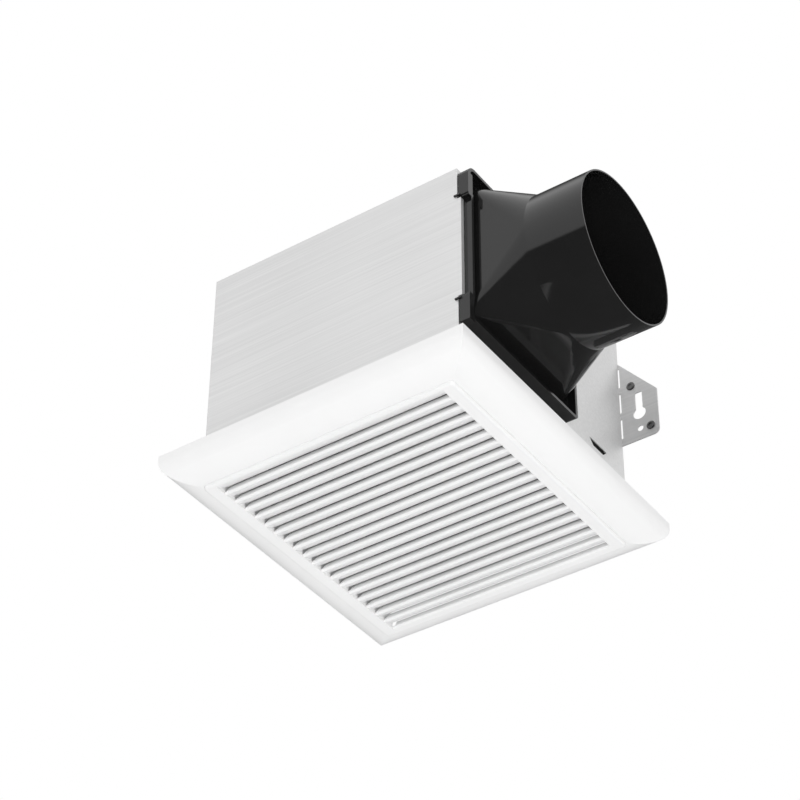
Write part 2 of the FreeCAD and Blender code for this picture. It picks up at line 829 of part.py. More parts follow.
def build_scroll():
    case = new_body("scroll_case")
    wall = dim.scroll_wall
    start, steps = spiral_steps(wall, math.degrees(math.asin(wall / (dim.spiral_radius + wall))))
    low = steps[-1][1][1]
    block = new_sketch(case, "scroll_outline", "XY_Plane", "plate_top")
    outline(block, (inner_x, low), (inner_x, start[1]), start, *steps)
    pad(case, block, "scroll_top - plate_top")
    start, steps = spiral_steps(0)
    low = steps[-1][1][1]
    hollow = new_sketch(case, "scroll_hollow", "XY_Plane", "plate_top")
    outline(hollow, (half_x, low), (half_x, start[1]), start, *steps)
    pocket(case, hollow, "scroll_top - plate_top - scroll_wall")
    opening = new_sketch(case, "scroll_opening", "XY_Plane", "scroll_top")
    circle(opening, dim.wheel_x, dim.wheel_y, dim.scroll_opening_radius)
    holes = motor_plate_screw_places()
    circles(opening, [(dim.wheel_x + x, dim.wheel_y + y) for x, y in holes], dim.screw_hole)
    pocket(case, opening, "scroll_wall", -1)


# Inlet plate under the scroll, with its brackets and ring
def bracket_screw_places():
    return [(-inner_x + dim.plate_screw_offset, side * dim.bracket_y) for side in (1, -1)]


def build_inlet():
    plate = new_body("inlet_plate")
    sheet_outline = new_sketch(plate, "plate_outline", "XY_Plane", "plate_z")
    edge_x, edge_y = inner_x - dim.plate_gap, inner_y - dim.plate_gap
    tab_end = half_x - dim.sheet_wall / 2
    tabs = []
    for middle in (-dim.lance_y, dim.lance_y):
        first, last = middle - dim.plate_tab_width / 2, middle + dim.plate_tab_width / 2
        tabs += [(edge_x, first), (tab_end, first), (tab_end, last), (edge_x, last)]
    outline(
        sheet_outline,
        (-edge_x, -edge_y),
        (edge_x, -edge_y),
        *tabs,
        (edge_x, edge_y),
        (-edge_x, edge_y),
    )
    circle(sheet_outline, dim.wheel_x, dim.wheel_y, dim.plate_hole_radius)
    ring_holes = on_circle(dim.ring_screw_circle, dim.ring_screw_count, dim.ring_screw_turn)
    circles(sheet_outline, [(dim.wheel_x + x, dim.wheel_y + y) for x, y in ring_holes], dim.screw_hole)
    circles(sheet_outline, bracket_screw_places(), dim.screw_hole)
    pad(plate, sheet_outline, "plate_wall")

    ring = new_body("inlet_ring", centred_on_wheel=True)
    bell = new_sketch(ring, "bell_profile", "XZ_Plane")
    under = dim.plate_z - dim.ring_wall
    centre = dim.bell_centre_radius, under + dim.bell_radius
    inside = dim.bell_radius - dim.ring_wall
    lip = centre[1] + dim.throat_height
    outline(
        bell,
        (dim.ring_radius, under),
        (centre[0], under),
        (polar(dim.bell_radius, 225, centre), polar(dim.bell_radius, 180, centre)),
        (centre[0] - dim.bell_radius, lip),
        (centre[0] - inside, lip),
        (centre[0] - inside, centre[1]),
        (polar(inside, 225, centre), polar(inside, 270, centre)),
        (dim.ring_radius, dim.plate_z),
    )
    revolve(ring, bell)
    holes = new_sketch(ring, "ring_screw_holes", "XY_Plane", "plate_z")
    circles(holes, ring_holes, dim.screw_hole)
    pocket(ring, holes, "ring_wall", -1)
    screws("inlet_ring_screws", ring_holes, "plate_z - ring_wall", "screw_length", 1, True)

    brackets = new_body("plate_brackets")
    for side, name in ((1, "rear"), (-1, "front")):
        first = f"{side} * bracket_y - bracket_width / 2"
        profile = new_sketch(brackets, name + "_bracket", "XZ_Plane", first)
        left, low, wall = -inner_x, dim.plate_top, dim.sheet_wall
        outline(
            profile,
            (left, low),
            (left + dim.bracket_reach, low),
            (left + dim.bracket_reach, low + wall),
            (left + wall, low + wall),
            (left + wall, low + dim.bracket_height),
            (left, low + dim.bracket_height),
        )
        pad(brackets, profile, "bracket_width")
    foot_holes = new_sketch(brackets, "bracket_holes", "XY_Plane", "plate_top")
    circles(foot_holes, bracket_screw_places(), dim.screw_hole)
    pocket(brackets, foot_holes, "sheet_wall")
    screws("plate_screws", bracket_screw_places(), "plate_z", "screw_length")


# Squirrel-cage wheel of pressed sheet: hub with cup and rim, crimped blades, lower ring
def build_wheel():
    wheel = new_body("blower_wheel", centred_on_wheel=True)
    profile = new_sketch(wheel, "wheel_profile", "XZ_Plane")
    skin = dim.wheel_skin
    outline(
        profile,
        (dim.shaft_radius, dim.hub_bottom),
        (dim.hub_radius, dim.hub_bottom),
        (dim.hub_radius, dim.cup_floor),
        (dim.cup_floor_radius, dim.cup_floor),
        (dim.cup_top_radius, dim.wheel_top - dim.wheel_rim_wall),
        (dim.wheel_radius, dim.wheel_top - dim.wheel_rim_wall),
        (dim.wheel_radius, dim.wheel_top),
        (dim.cup_top_radius - skin, dim.wheel_top),
        (dim.cup_floor_radius - skin, dim.cup_floor + skin),
        (dim.hub_radius, dim.cup_floor + skin),
        (dim.hub_radius, dim.hub_top),
        (dim.shaft_radius, dim.hub_top),
    )
    revolve(wheel, profile)

    ring = new_body("wheel_ring", centred_on_wheel=True)
    band = new_sketch(ring, "ring_section", "XY_Plane", "wheel_bottom")
    circle(band, 0, 0, dim.wheel_radius)
    circle(band, 0, 0, dim.wheel_radius - dim.wheel_ring_width)
    pad(ring, band, "wheel_ring_wall")

    blades = new_body("wheel_blades", centred_on_wheel=True)
    sections = new_sketch(blades, "blade_sections", "XY_Plane", "wheel_bottom + wheel_ring_wall")
    root, wall = dim.blade_inner_radius, dim.blade_wall
    tip_angle = math.degrees(math.asin(dim.blade_lean / dim.blade_outer_radius))
    wall_angle = math.degrees(wall / dim.blade_outer_radius)
    inner_tip = polar(dim.blade_outer_radius, tip_angle)
    outer_tip = polar(dim.blade_outer_radius, tip_angle + wall_angle)
    middle = (root + inner_tip[0]) / 2 + dim.blade_bow, inner_tip[1] / 2 - dim.blade_bow
    back = middle[0] - wall / 2, middle[1] + wall
    for turn in range(int(dim.blade_count)):
        points = [
            turned(point, 360 * turn / dim.blade_count)
            for point in ((root, 0), middle, inner_tip, outer_tip, back, (root, wall))
        ]
        outline(sections, points[0], (points[1], points[2]), points[3], (points[4], points[5]))
    pad(blades, sections, "wheel_top - wheel_rim_wall - wheel_bottom - wheel_ring_wall")

    nut = new_body("wheel_nut", centred_on_wheel=True)
    section = new_sketch(nut, "wheel_nut_section", "XY_Plane", "hub_bottom")
    hexagon(section, 0, 0, dim.wheel_nut_across)
    circle(section, 0, 0, dim.shaft_radius)
    pad(nut, section, "wheel_nut_height", -1)


# Shaded-pole motor inside the cup of the wheel
def motor_screw_places():
    return [(0, side * dim.motor_screw_y) for side in (1, -1)]


def build_rotor():
    shaft = new_body("motor_shaft", centred_on_wheel=True)
    rod = new_sketch(shaft, "shaft_section", "XY_Plane", "shaft_bottom")
    circle(rod, 0, 0, dim.shaft_radius)
    pad(shaft, rod, "shaft_top - shaft_bottom")
    rotor = new_body("rotor_core", centred_on_wheel=True)
    core = new_sketch(rotor, "rotor_section", "XY_Plane", "stator_bottom - rotor_overhang")
    circle(core, 0, 0, dim.rotor_radius)
    circle(core, 0, 0, dim.shaft_radius)
    pad(rotor, core, "stator_top - stator_bottom + 2 * rotor_overhang")


def build_stator():
    stator = new_body("stator_core", centred_on_wheel=True)
    stack = new_sketch(stator, "stator_section", "XY_Plane", "stator_bottom")
    rectangle(stack, dim.stator_left, dim.stator_right, -dim.stator_half_y, dim.stator_half_y)
    rectangle(stack, dim.window_left, dim.window_right, -dim.window_half_y, dim.window_half_y)
    circle(stack, 0, 0, dim.rotor_radius + dim.air_gap)
    circles(stack, motor_screw_places(), dim.screw_hole)
    pad(stator, stack, "stator_top - stator_bottom")

    bobbin = new_body("coil_bobbin", centred_on_wheel=True)
    bar = dim.window_right, dim.stator_right, dim.stator_bottom, dim.stator_top

    def grown(by):
        return bar[0] - by, bar[1] + by, bar[2] - by, bar[3] + by

    tube = new_sketch(bobbin, "bobbin_tube", "XZ_Plane", "-bobbin_half_y")
    rectangle(tube, *grown(dim.bobbin_wall))
    rectangle(tube, *bar)
    pad(bobbin, tube, "2 * bobbin_half_y")
    for name, offset in (("front", "-bobbin_half_y"), ("rear", "bobbin_half_y - bobbin_flange")):
        cheek = new_sketch(bobbin, name + "_cheek", "XZ_Plane", offset)
        rectangle(cheek, *grown(dim.bobbin_flange_rise))
        rectangle(cheek, *bar)
        pad(bobbin, cheek, "bobbin_flange")

    winding = new_body("coil_winding", centred_on_wheel=True)
    turns = new_sketch(winding, "winding_section", "XZ_Plane", "-bobbin_half_y + bobbin_flange")
    rectangle(turns, *grown(dim.winding_rise))
    rectangle(turns, *grown(dim.bobbin_wall))
    block = pad(winding, turns, "2 * (bobbin_half_y - bobbin_flange)")
    low, high = grown(dim.winding_rise)[2:]

    def outer_corner(box):
        lengthwise = near(box.XLength, 0) and not near(box.YLength, 0)
        return lengthwise and (near(box.ZMin, low) or near(box.ZMin, high))

    fillet(winding, block, "winding_round", outer_corner)


# The upper cradle is closed over the shaft, the lower one lets it through
def build_cradle(label, seat, out, bearing):
    cradle = new_body(label, centred_on_wheel=True)
    strip_seat = f"{seat} + {out} * cradle_rise"
    strip = new_sketch(cradle, label + "_strip", "XY_Plane", strip_seat)
    rectangle(strip, -dim.cradle_half_x, dim.cradle_half_x, -dim.stator_half_y, dim.stator_half_y)
    pad(cradle, strip, "cradle_strip", out)
    legs = new_sketch(cradle, label + "_legs", "XY_Plane", seat)
    for side in (1, -1):
        edges = sorted((side * dim.stator_half_y, side * (dim.stator_half_y - dim.cradle_leg)))
        rectangle(legs, -dim.cradle_half_x, dim.cradle_half_x, *edges)
    pad(cradle, legs, "cradle_rise", out)
    boss = new_sketch(cradle, label + "_boss", "XY_Plane", f"{strip_seat} - {out} * boss_in")
    circle(boss, 0, 0, dim.boss_radius)
    pad(cradle, boss, "boss_in + cradle_strip + boss_out", out)
    holes = new_sketch(cradle, label + "_screw_holes", "XY_Plane", seat)
    circles(holes, motor_screw_places(), dim.screw_hole)
    pocket(cradle, holes, "cradle_rise + cradle_strip", out)
    if out > 0:
        cup = new_sketch(cradle, label + "_cup", "XY_Plane", f"{strip_seat} - boss_in")
        circle(cup, 0, 0, dim.bearing_radius)
        pocket(cradle, cup, f"{bearing} + bearing_height - ({strip_seat}) + boss_in")
    else:
        cup = new_sketch(cradle, label + "_cup", "XY_Plane", bearing)
        circle(cup, 0, 0, dim.bearing_radius)
        pocket(cradle, cup, "stator_bottom - lower_bearing_z")
        way = new_sketch(cradle, label + "_shaft_way", "XY_Plane", bearing)
        circle(way, 0, 0, dim.bearing_radius - dim.bearing_ledge)
        pocket(cradle, way, "cradle_strip", -1)


def build_bearing(label, bottom):
    bearing = new_body(label, centred_on_wheel=True)
    section = new_sketch(bearing, label + "_section", "XY_Plane", bottom)
    circle(section, 0, 0, dim.bearing_radius)
    circle(section, 0, 0, dim.shaft_radius + dim.bearing_play)
    pad(bearing, section, "bearing_height")


def build_suspension():
    places = motor_screw_places()
    head_seat = "stator_bottom - cradle_rise - cradle_strip"
    screws("motor_screws", places, head_seat, f"motor_screw_tip - ({head_seat})", 1, True)
    spacers = new_body("motor_standoffs", centred_on_wheel=True)
    tube = new_sketch(spacers, "standoff_section", "XY_Plane", "stator_top + cradle_rise + cradle_strip")
    circles(tube, places, dim.standoff_radius)
    circles(tube, places, dim.screw_hole)
    pad(spacers, tube, "standoff_top - stator_top - cradle_rise - cradle_strip")
    grommets = new_body("motor_grommets", centred_on_wheel=True)
    rubber = new_sketch(grommets, "grommet_section", "XY_Plane", "standoff_top")
    circles(rubber, places, dim.grommet_radius)
    circles(rubber, places, dim.screw_hole)
    pad(grommets, rubber, "grommet_height")

    plate = new_body("motor_plate", centred_on_wheel=True)
    disc = new_sketch(plate, "motor_plate_outline", "XY_Plane", "scroll_top")
    circle(disc, 0, 0, dim.motor_plate_radius)
    edge_places = motor_plate_screw_places()
    circles(disc, places + edge_places, dim.screw_hole)
    pad(plate, disc, "motor_plate_wall")
    screws("motor_plate_screws", edge_places, "motor_plate_top", "motor_plate_screw_length", -1, True)
    nuts = new_body("motor_nuts", centred_on_wheel=True)
    section = new_sketch(nuts, "motor_nut_section", "XY_Plane", "motor_plate_top")
    for x, y in places:
        hexagon(section, x, y, dim.motor_nut_across)
    circles(section, places, dim.screw_radius)
    pad(nuts, section, "motor_nut_height")


# Wiring compartment in the rear corner
def build_wiring():
    box = new_body("wiring_box")
    walls = new_sketch(box, "wiring_walls", "XY_Plane", "wiring_bottom")
    left, front, wall = dim.wiring_x, dim.wiring_y, dim.sheet_wall
    outline(
        walls,
        (left, front),
        (inner_x, front),
        (inner_x, front + wall),
        (left + wall, front + wall),
        (left + wall, inner_y),
        (left, inner_y),
    )
    pad(box, walls, "housing_height - sheet_wall - wiring_bottom")
    tab = new_sketch(box, "wiring_tab", "XY_Plane", "wiring_bottom")
    tab_end = dim.wiring_tab_y + dim.wiring_tab_width
    rectangle(tab, left, left + dim.wiring_tab_reach, dim.wiring_tab_y, tab_end)
    pad(box, tab, "sheet_wall")
    cover_hole = [(left + dim.cover_screw_offset, dim.wiring_tab_y + dim.wiring_tab_width / 2)]
    tab_hole = new_sketch(box, "tab_hole", "XY_Plane", "wiring_bottom")
    circles(tab_hole, cover_hole, dim.screw_hole)
    pocket(box, tab_hole, "sheet_wall")

    cover = new_body("wiring_cover")
    lid = new_sketch(cover, "cover_outline", "XY_Plane", "wiring_bottom")
    edge = dim.cover_edge
    rectangle(lid, left - edge, inner_x - edge, front - edge, inner_y - edge)
    neck_x = dim.receptacle_length / 2 - dim.receptacle_neck
    neck_y = dim.receptacle_width / 2 - dim.receptacle_neck
    place_x, place_y = dim.receptacle_x, dim.receptacle_y
    rectangle(lid, place_x - neck_x, place_x + neck_x, place_y - neck_y, place_y + neck_y)
    circles(lid, cover_hole, dim.screw_hole)
    pad(cover, lid, "cover_wall", -1)
    screws("cover_screw", cover_hole, "wiring_bottom - cover_wall", "screw_length")

    socket = new_body("receptacle")
    face = new_sketch(socket, "receptacle_face", "XY_Plane", "wiring_bottom - cover_wall")
    half_length, half_width = dim.receptacle_length / 2, dim.receptacle_width / 2
    edges = place_x - half_length, place_x + half_length, place_y - half_width, place_y + half_width
    rectangle(face, *edges)
    pad(socket, face, "receptacle_depth", -1)
    back = new_sketch(socket, "receptacle_back_outline", "XY_Plane", "wiring_bottom - cover_wall")
    rectangle(back, place_x - neck_x, place_x + neck_x, place_y - neck_y, place_y + neck_y)
    pad(socket, back, "receptacle_back")
    front_face = "wiring_bottom - cover_wall - receptacle_depth"
    slots = new_sketch(socket, "receptacle_slots", "XY_Plane", front_face)
    slot_x, slot_y = dim.receptacle_slot_width / 2, dim.receptacle_slot_length / 2
    for step in (-1, 0, 1):
        x = place_x + step * dim.receptacle_slot_pitch
        rectangle(slots, x - slot_x, x + slot_x, place_y - slot_y, place_y + slot_y)
    pocket(socket, slots, "receptacle_slot_depth")
    ground_place = dim.ground_screw_x, dim.ground_screw_y
    screws("ground_screw", [ground_place], "housing_height - sheet_wall", "sheet_wall")


# Springs: slotted brackets on the housing and wire arms on the grille posts
def build_spring_bracket(label, side):
    bracket = new_body(label)
    profile = new_sketch(bracket, label + "_profile", "XZ_Plane", "-spring_bracket_half_y")
    low, wall = dim.spring_bracket_z, dim.sheet_wall
    outer, inner = side * inner_x, side * (inner_x - dim.spring_bracket_reach)
    outline(
        profile,
        (inner, low),
        (outer, low),
        (outer, low + dim.spring_bracket_height),
        (outer - side * wall, low + dim.spring_bracket_height),
        (outer - side * wall, low + wall),
        (inner, low + wall),
    )
    pad(bracket, profile, "2 * spring_bracket_half_y")
    slot = new_sketch(bracket, label + "_slot", "XY_Plane", "spring_bracket_z")
    middle, half_slot = side * dim.post_x, dim.spring_slot_width / 2
    rectangle(slot, middle - half_slot, middle + half_slot, -dim.spring_slot_half_y, dim.spring_slot_half_y)
    pocket(bracket, slot, "sheet_wall")


def wire(name, start, end):
    piece = doc.addObject("Part::Cylinder", name)
    along = FreeCAD.Vector(*end) - FreeCAD.Vector(*start)
    piece.setExpression("Radius", tied("wire_radius"))
    piece.Height = along.Length
    turn = FreeCAD.Rotation(FreeCAD.Vector(0, 0, 1), along)
    piece.Placement = FreeCAD.Placement(FreeCAD.Vector(*start), turn)
    return piece


def ball(name, place):
    piece = doc.addObject("Part::Sphere", name)
    piece.setExpression("Radius", tied("wire_radius"))
    piece.Placement.Base = FreeCAD.Vector(*place)
    return piece


def build_spring_arm(label, side, lean):
    x = side * dim.post_x + lean * dim.arm_spacing / 2
    eye = doc.addObject("Part::Torus", label + "_eye")
    eye.setExpression("Radius1", tied("eye_radius"))
    eye.setExpression("Radius2", tied("wire_radius"))
    upright = FreeCAD.Rotation(FreeCAD.Vector(0, 1, 0), 90)
    eye.Placement = FreeCAD.Placement(FreeCAD.Vector(x, 0, dim.post_z), upright)

    def along(start, degrees, length):
        y, z = polar(length, 90 - degrees, start)
        return y, z

    root = along((0, dim.post_z), dim.arm_angle, dim.eye_radius)
    bend = along((0, dim.post_z), dim.arm_angle, dim.arm_length)
    tip = along(bend, dim.arm_angle + dim.hook_angle, dim.hook_length)
    points = [(x, lean * y, z) for y, z in (root, bend, tip)]
    arm = doc.addObject("Part::MultiFuse", label)
    arm.Label = label
    arm.Shapes = [
        eye,
        wire(label + "_rod", points[0], points[1]),
        ball(label + "_bend", points[1]),
        wire(label + "_hook", points[1], points[2]),
        ball(label + "_tip", points[2]),
    ]
    nodes.append(arm)


# Grille: mitred pillow border from crossed profiles, then panel, louvres and spring posts
def border_steps(half, inset, rise):
    edge_radius = dim.border_edge_radius
    run = dim.border_width - edge_radius
    drop = dim.border_depth
    broad_radius = (run ** 2 + drop ** 2 - edge_radius ** 2) / (2 * (drop - edge_radius))
    valley = dim.border_valley
    edge_centre = half - edge_radius, -dim.grille_rim
    broad_centre = half - dim.border_width, valley + broad_radius
    joint = math.degrees(math.atan2(edge_centre[1] - broad_centre[1], edge_centre[0] - broad_centre[0]))
    edge_in, broad_in = edge_radius - inset, broad_radius - inset
    right = [
        (half - inset, rise),
        (half - inset, -dim.grille_rim),
        (polar(edge_in, joint / 2, edge_centre), polar(edge_in, joint, edge_centre)),
        (polar(broad_in, (joint - 90) / 2, broad_centre), polar(broad_in, -90, broad_centre)),
    ]
    left_end = -broad_centre[0], valley + inset

    def mirrored(point):
        return -point[0], point[1]

    joint_left = mirrored(polar(edge_in, joint, edge_centre))
    left = [
        left_end,
        (mirrored(polar(broad_in, (joint - 90) / 2, broad_centre)), joint_left),
        (mirrored(polar(edge_in, joint / 2, edge_centre)), (-half + inset, -dim.grille_rim)),
        (-half + inset, rise),
    ]
    return right + left


def profile_bar(name, half, reach, inset, rise, across):
    profile = doc.addObject("Sketcher::SketchObject", name + "_profile")
    outline(profile, *border_steps(half, inset, rise))
    turn = FreeCAD.Rotation(FreeCAD.Vector(1, 0, 0), 90)
    if across:
        turn = FreeCAD.Rotation(FreeCAD.Vector(0, 0, 1), 90).multiply(turn)
    profile.Placement = FreeCAD.Placement(FreeCAD.Vector(), turn)
    bar = doc.addObject("Part::Extrusion", name)
    bar.Base = profile
    bar.DirMode = "Normal"
    bar.LengthFwd = 2 * reach
    bar.Symmetric = True
    bar.Solid = True
    return bar


def crossed_bars(name, inset, rise):
    reach = max(dim.grille_half_x, dim.grille_half_y) + dim.border_width
    crossed = doc.addObject("Part::MultiCommon", name)
    crossed.Shapes = [
        profile_bar(name + "_along", dim.grille_half_x, reach, inset, rise, False),
        profile_bar(name + "_across", dim.grille_half_y, reach, inset, rise, True),
    ]
    return crossed


# Louvre section from its crest: y along the pitch, z up from the panel face
def louvre_points():
    slope, lean = math.radians(dim.louvre_slope), math.radians(dim.leg_slope)
    nose = dim.louvre_nose, dim.louvre_nose
    slope_start = polar(dim.louvre_nose, dim.louvre_slope - 90, nose)
    leg_start = polar(dim.louvre_nose, dim.leg_slope + 90, nose)
    leg_inside = polar(dim.leg_wall, dim.leg_slope - 90, leg_start)
    run = dim.louvre_pitch - slope_start[0]
    slope_end = dim.louvre_pitch, slope_start[1] + run * math.tan(slope)
    back_end = dim.louvre_pitch, slope_end[1] + dim.louvre_wall / math.cos(slope)
    back_root = back_end[1] - dim.louvre_pitch * math.tan(slope)
    offset = back_root + leg_inside[0] * math.tan(slope) - leg_inside[1]
    climb = offset / (math.tan(lean) - math.tan(slope))
    fold = leg_inside[0] + climb, leg_inside[1] + climb * math.tan(lean)
    crown = polar(dim.louvre_nose, (dim.leg_slope + 90 + dim.louvre_slope + 270) / 2, nose)
    return SimpleNamespace(
        leg_start=leg_start,
        leg_inside=leg_inside,
        crown=crown,
        slope_start=slope_start,
        slope_end=slope_end,
        back_end=back_end,
        fold=fold,
    )


def build_grille():
    shell = doc.addObject("Part::Cut", "grille_border")
    shell.Base = crossed_bars("border_outside", 0, 0)
    shell.Tool = crossed_bars("border_inside", dim.grille_wall, dim.grille_wall)
    doc.recompute()
    grille = new_body("grille")
    grille.BaseFeature = shell
    wall = dim.grille_wall

    panel = new_sketch(grille, "panel_outline", "XY_Plane", "panel_z")
    rectangle(panel, -dim.panel_half_x, dim.panel_half_x, -dim.panel_half_y, dim.panel_half_y)
    raised = pad(grille, panel, "border_valley + grille_wall - panel_z")

    def panel_corner(box):
        at_corner = near(abs(box.XMin), dim.panel_half_x) and near(abs(box.YMin), dim.panel_half_y)
        upright = near(box.XLength, 0) and near(box.YLength, 0)
        return at_corner and upright and near(box.ZMin, dim.panel_z)

    cornered = fillet(grille, raised, "panel_corner", panel_corner)

    def face_edge(box):
        return near(box.ZMin, dim.panel_z) and near(box.ZMax, dim.panel_z)

    fillet(grille, cornered, "panel_bead", face_edge)
    cavity = new_sketch(grille, "panel_cavity", "XY_Plane", "panel_z + grille_wall")
    inner_half_x, inner_half_y = dim.panel_half_x - wall, dim.panel_half_y - wall
    rectangle(cavity, -inner_half_x, inner_half_x, -inner_half_y, inner_half_y)
    pocket(grille, cavity, "border_depth")

    shape = louvre_points()
    last_y = dim.louvre_first_y + dim.louvre_count * dim.louvre_pitch
    reach = dim.louvre_half_x
    window = new_sketch(grille, "louvre_window", "XY_Plane", "panel_z")
    rectangle(window, -reach, reach, dim.louvre_first_y + dim.louvre_nose, last_y + dim.louvre_nose)
    pocket(grille, window, "border_depth")

    def placed(point, crest=dim.louvre_first_y):
        return crest + point[0], dim.panel_z + point[1]

    blade = new_sketch(grille, "louvre_blade", "YZ_Plane", "-louvre_end_x")
    outline(
        blade,
        placed(shape.leg_start),
        (placed(shape.crown), placed(shape.slope_start)),
        placed(shape.slope_end),
        placed(shape.back_end),
        placed(shape.fold),
        placed(shape.leg_inside),
    )
    blade_pad = pad(grille, blade, "2 * louvre_end_x")
    repeat(grille, blade_pad, "Y_Axis", "louvre_pitch", "louvre_count")
    for name, offset in (("right", "louvre_half_x"), ("left", "-louvre_end_x")):
        cheek = new_sketch(grille, name + "_louvre_cheek", "YZ_Plane", offset)
        base = shape.slope_start[1]
        outline(
            cheek,
            placed(shape.slope_start),
            placed((dim.louvre_pitch, base)),
            placed(shape.slope_end),
        )
        cheek_pad = pad(grille, cheek, "louvre_side_wall")
        repeat(grille, cheek_pad, "Y_Axis", "louvre_pitch", "louvre_count")

    def leg_sketch(name, crest, half_length, taper):
        sketch = grille.newObject("Sketcher::SketchObject", name)
        sketch.AttachmentSupport = [(origin_item(grille, "XZ_Plane"), "")]
        sketch.MapMode = "FlatFace"
        foot_y, foot_z = placed(shape.leg_start, crest)
        tilt = FreeCAD.Rotation(FreeCAD.Vector(1, 0, 0), dim.leg_slope - 90)
        sketch.AttachmentOffset = FreeCAD.Placement(FreeCAD.Vector(0, foot_z, -foot_y), tilt)
        rise = (dim.leg_height - shape.leg_start[1]) / math.sin(math.radians(dim.leg_slope))
        top = half_length - taper
        outline(sketch, (-half_length, 0), (half_length, 0), (top, rise), (-top, rise))
        return sketch

    legs = leg_sketch("louvre_leg", dim.louvre_first_y + dim.louvre_pitch, reach, dim.leg_taper)
    leg_pad = pad(grille, legs, "leg_wall", 1)
    repeat(grille, leg_pad, "Y_Axis", "louvre_pitch", "louvre_count - 1")
    lip = new_sketch(grille, "margin_lip", "YZ_Plane", "-louvre_end_x")
    flat = dim.louvre_nose + dim.grille_wall
    outline(
        lip,
        placed(shape.leg_start, last_y),
        (placed(polar(dim.louvre_nose, (dim.leg_slope + 360) / 2, (dim.louvre_nose,) * 2), last_y),
         placed((dim.louvre_nose, 0), last_y)),
        placed((flat, 0), last_y),
        placed((flat, wall), last_y),
        placed((shape.fold[0], wall), last_y),
        placed(shape.leg_inside, last_y),
    )
    pad(grille, lip, "2 * louvre_end_x")
    last_leg = leg_sketch("margin_leg", last_y, reach - dim.last_leg_inset, 0)
    pad(grille, last_leg, "leg_wall", 1)

    floors = (("inner", -1, "panel_z + grille_wall"), ("outer", 1, "border_valley + grille_wall"))
    for side, name in ((1, "right"), (-1, "left")):
        end_rib = new_sketch(grille, name + "_end_rib", "XY_Plane", "panel_z + grille_wall - rib_sink")
        edges = sorted(side * x for x in (dim.louvre_end_x, dim.louvre_end_x + dim.rib_wall))
        rectangle(end_rib, *edges, dim.louvre_first_y + dim.louvre_nose, last_y + dim.louvre_nose)
        pad(grille, end_rib, "end_rib_height - grille_wall + rib_sink")
        for place, sign, floor in floors:
            gaps = dim.rib_half_gap, dim.rib_half_gap + dim.rib_wall
            edges = sorted(side * (dim.post_x + sign * gap) for gap in gaps)
            rib = new_sketch(grille, f"{name}_{place}_rib", "XY_Plane", f"{floor} - rib_sink")
            rectangle(rib, *edges, -dim.rib_half_width, dim.rib_half_width)
            pad(grille, rib, f"rib_top - ({floor}) + rib_sink")
        start = f"{side} * post_x - rib_half_gap - rib_wall / 2"
        post = new_sketch(grille, name + "_post", "YZ_Plane", start)
        circle(post, 0, dim.post_z, dim.post_radius)
        pad(grille, post, "2 * rib_half_gap + rib_wall")


build_housing()
build_ear_rivets()
build_adapter()
build_damper()
build_scroll()
build_inlet()
build_wheel()
build_rotor()
build_stator()
build_cradle("upper_bearing_bracket", "stator_top", 1, "upper_bearing_z")
build_cradle("lower_bearing_bracket", "stator_bottom", -1, "lower_bearing_z")
build_bearing("upper_bearing", "upper_bearing_z")
build_bearing("lower_bearing", "lower_bearing_z")
build_suspension()
build_wiring()
build_spring_bracket("right_spring_bracket", 1)
build_spring_bracket("left_spring_bracket", -1)
for side, name in ((1, "right"), (-1, "left")):
    build_spring_arm(name + "_spring_rear_arm", side, 1)
    build_spring_arm(name + "_spring_front_arm", side, -1)
build_grille()
doc.recompute()

# Every feature must be sound before anything is written
for item in doc.Objects:
    if "Invalid" in item.State or "Error" in item.State:
        raise RuntimeError(f"{item.Name} failed: {item.State}")
os.makedirs("parts", exist_ok=True)
for node in nodes:
    if node.Shape.isNull() or not node.Shape.isValid():
        raise RuntimeError(f"{node.Label} has no valid shape")
    node.Shape.exportStep(f"parts/{node.Label}.step")
    print(f"{node.Label}: {len(node.Shape.Solids)} solids, {node.Shape.Volume:.0f} mm3")
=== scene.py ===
import json
import math

import bpy
from mathutils import Matrix, Vector

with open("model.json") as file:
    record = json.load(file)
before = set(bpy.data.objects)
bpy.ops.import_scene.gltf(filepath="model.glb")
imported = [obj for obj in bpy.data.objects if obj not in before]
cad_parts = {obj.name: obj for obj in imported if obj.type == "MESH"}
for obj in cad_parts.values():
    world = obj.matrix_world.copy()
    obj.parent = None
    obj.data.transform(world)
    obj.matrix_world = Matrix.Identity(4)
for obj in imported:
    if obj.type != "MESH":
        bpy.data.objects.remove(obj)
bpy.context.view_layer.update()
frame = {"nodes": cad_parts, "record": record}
scene = bpy.context.scene
nodes = frame["nodes"]
print("frame loaded:", len(nodes), "nodes")


# node helpers shared by the finishes, the floor and the surround
def addNode(tree, kind, place, **settings):
    node = tree.nodes.new(kind)
    node.location = place
    for name, value in settings.items():
        setattr(node, name, value)
    return node


def setInputs(node, values):
    for name, value in values.items():
        node.inputs[name].default_value = value


def addNoise(tree, place, vector, values):
    noise = addNode(tree, "ShaderNodeTexNoise", place)
    setInputs(noise, values)
    tree.links.new(vector, noise.inputs["Vector"])
    return noise


def mixColors(tree, place, factor, first, second):
    mix = addNode(tree, "ShaderNodeMix", place, data_type="RGBA")
    tree.links.new(factor, mix.inputs["Factor"])
    tree.links.new(first, mix.inputs[6])  # sockets 6, 7 and 2 are the colour ones
    tree.links.new(second, mix.inputs[7])
    return mix.outputs[2]


# the ends of the new range are plain numbers or other sockets
def rangeOf(tree, place, value, low, high):
    ramp = addNode(tree, "ShaderNodeMapRange", place)
    tree.links.new(value, ramp.inputs["Value"])
    for socket, end in (("To Min", low), ("To Max", high)):
        if isinstance(end, float):
            ramp.inputs[socket].default_value = end
        else:
            tree.links.new(end, ramp.inputs[socket])
    return ramp


